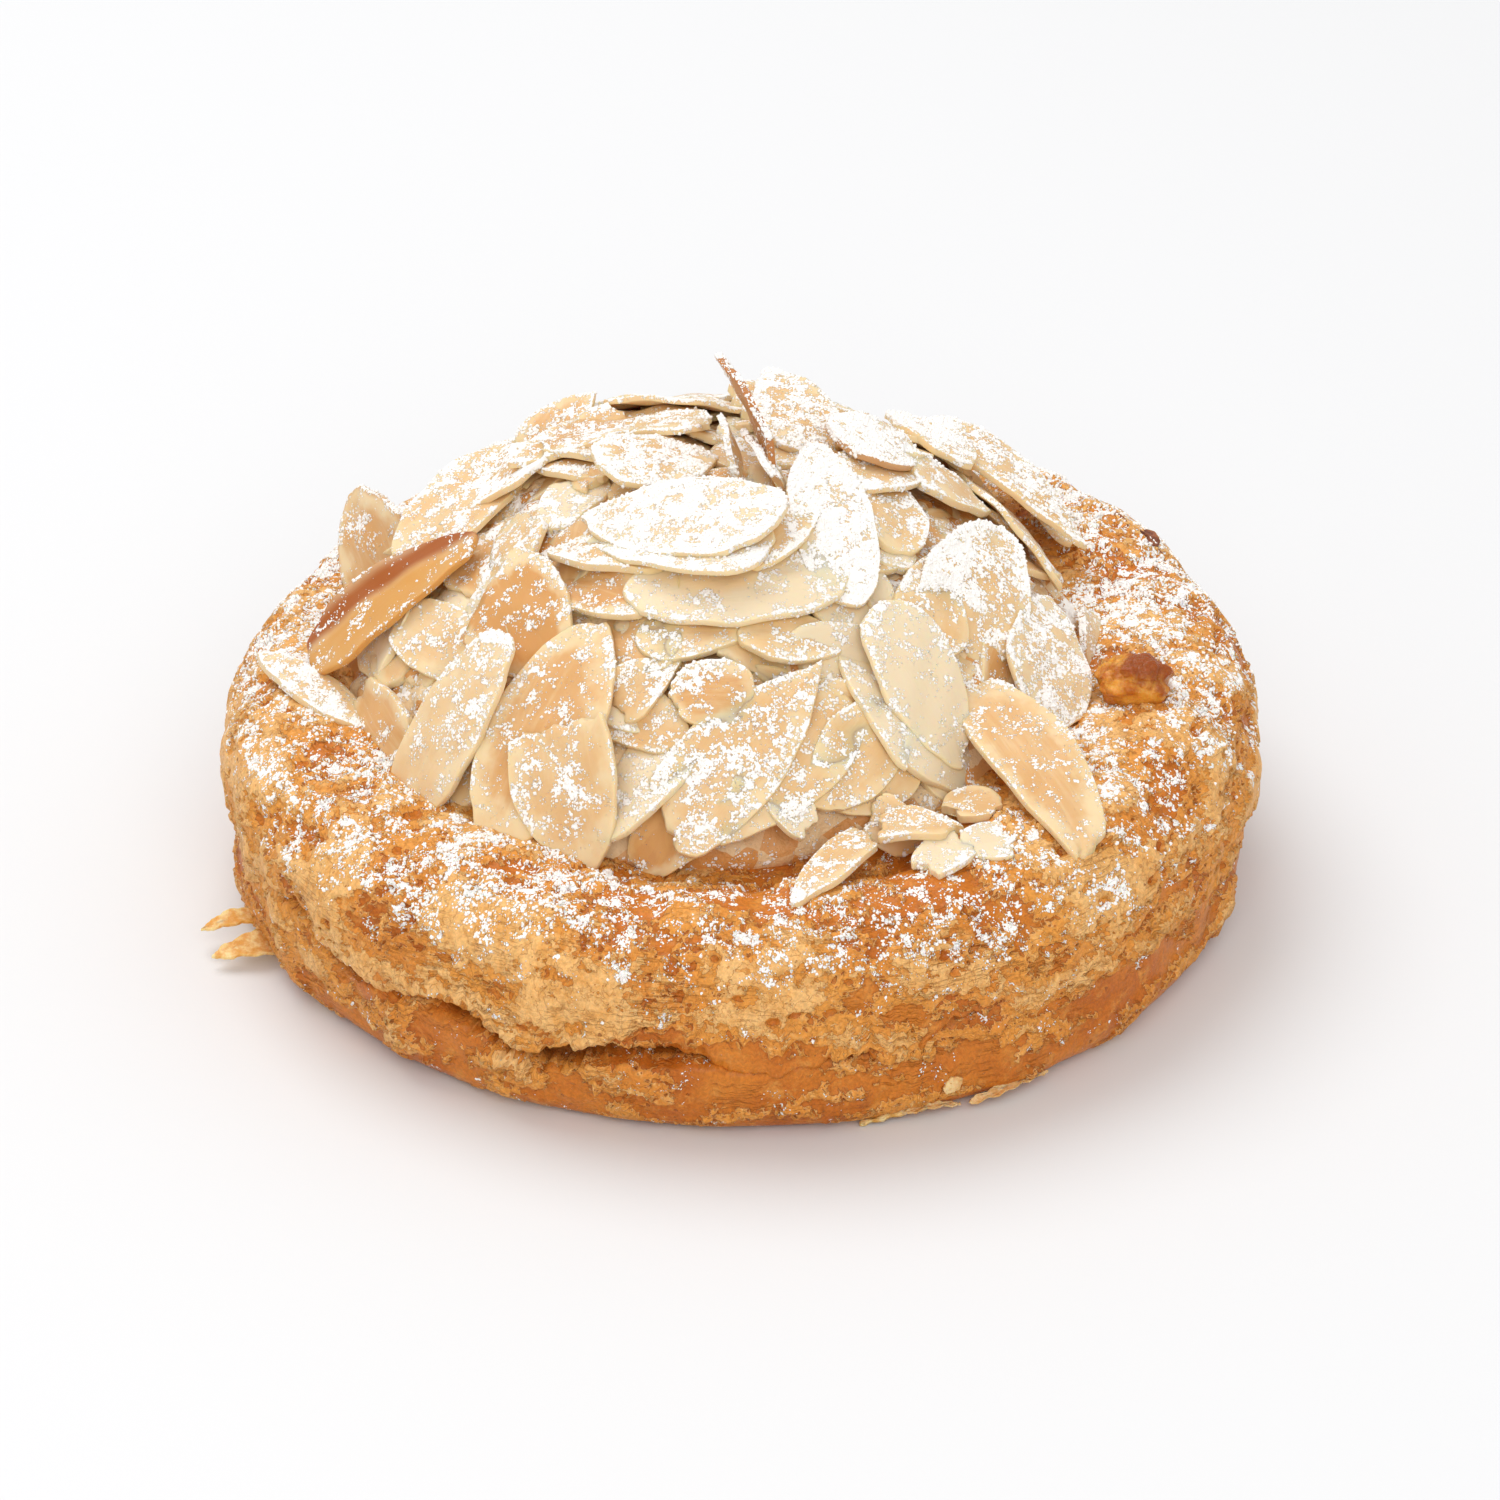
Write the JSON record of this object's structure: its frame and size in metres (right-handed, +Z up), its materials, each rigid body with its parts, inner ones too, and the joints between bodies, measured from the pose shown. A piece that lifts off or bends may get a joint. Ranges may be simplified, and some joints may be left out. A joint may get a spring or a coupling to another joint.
{
  "type": "almond croissant",
  "caption": "Round baked almond croissant: a flaky laminated pastry drum with a heap of sliced almonds and powdered sugar on top.",
  "frame": {"origin": "centre of the flat base that the croissant rests on", "axes": "+Z up, out of the base; -Y towards the side shown in the picture; +X to that view's right"},
  "size_m": [0.1087, 0.1071, 0.0547],
  "materials": {
    "crust": "matt baked crust, golden tan flakes over darker orange brown",
    "almond": "satin blanched almond, ivory with toasted tan edges",
    "sugar": "matt white powdered sugar",
    "caramel": "glossy orange brown burnt sugar"
  },
  "bodies": {
    "root": {"pastry": "crust", "almond_heap": "almond"}
  },
  "joints": []
}
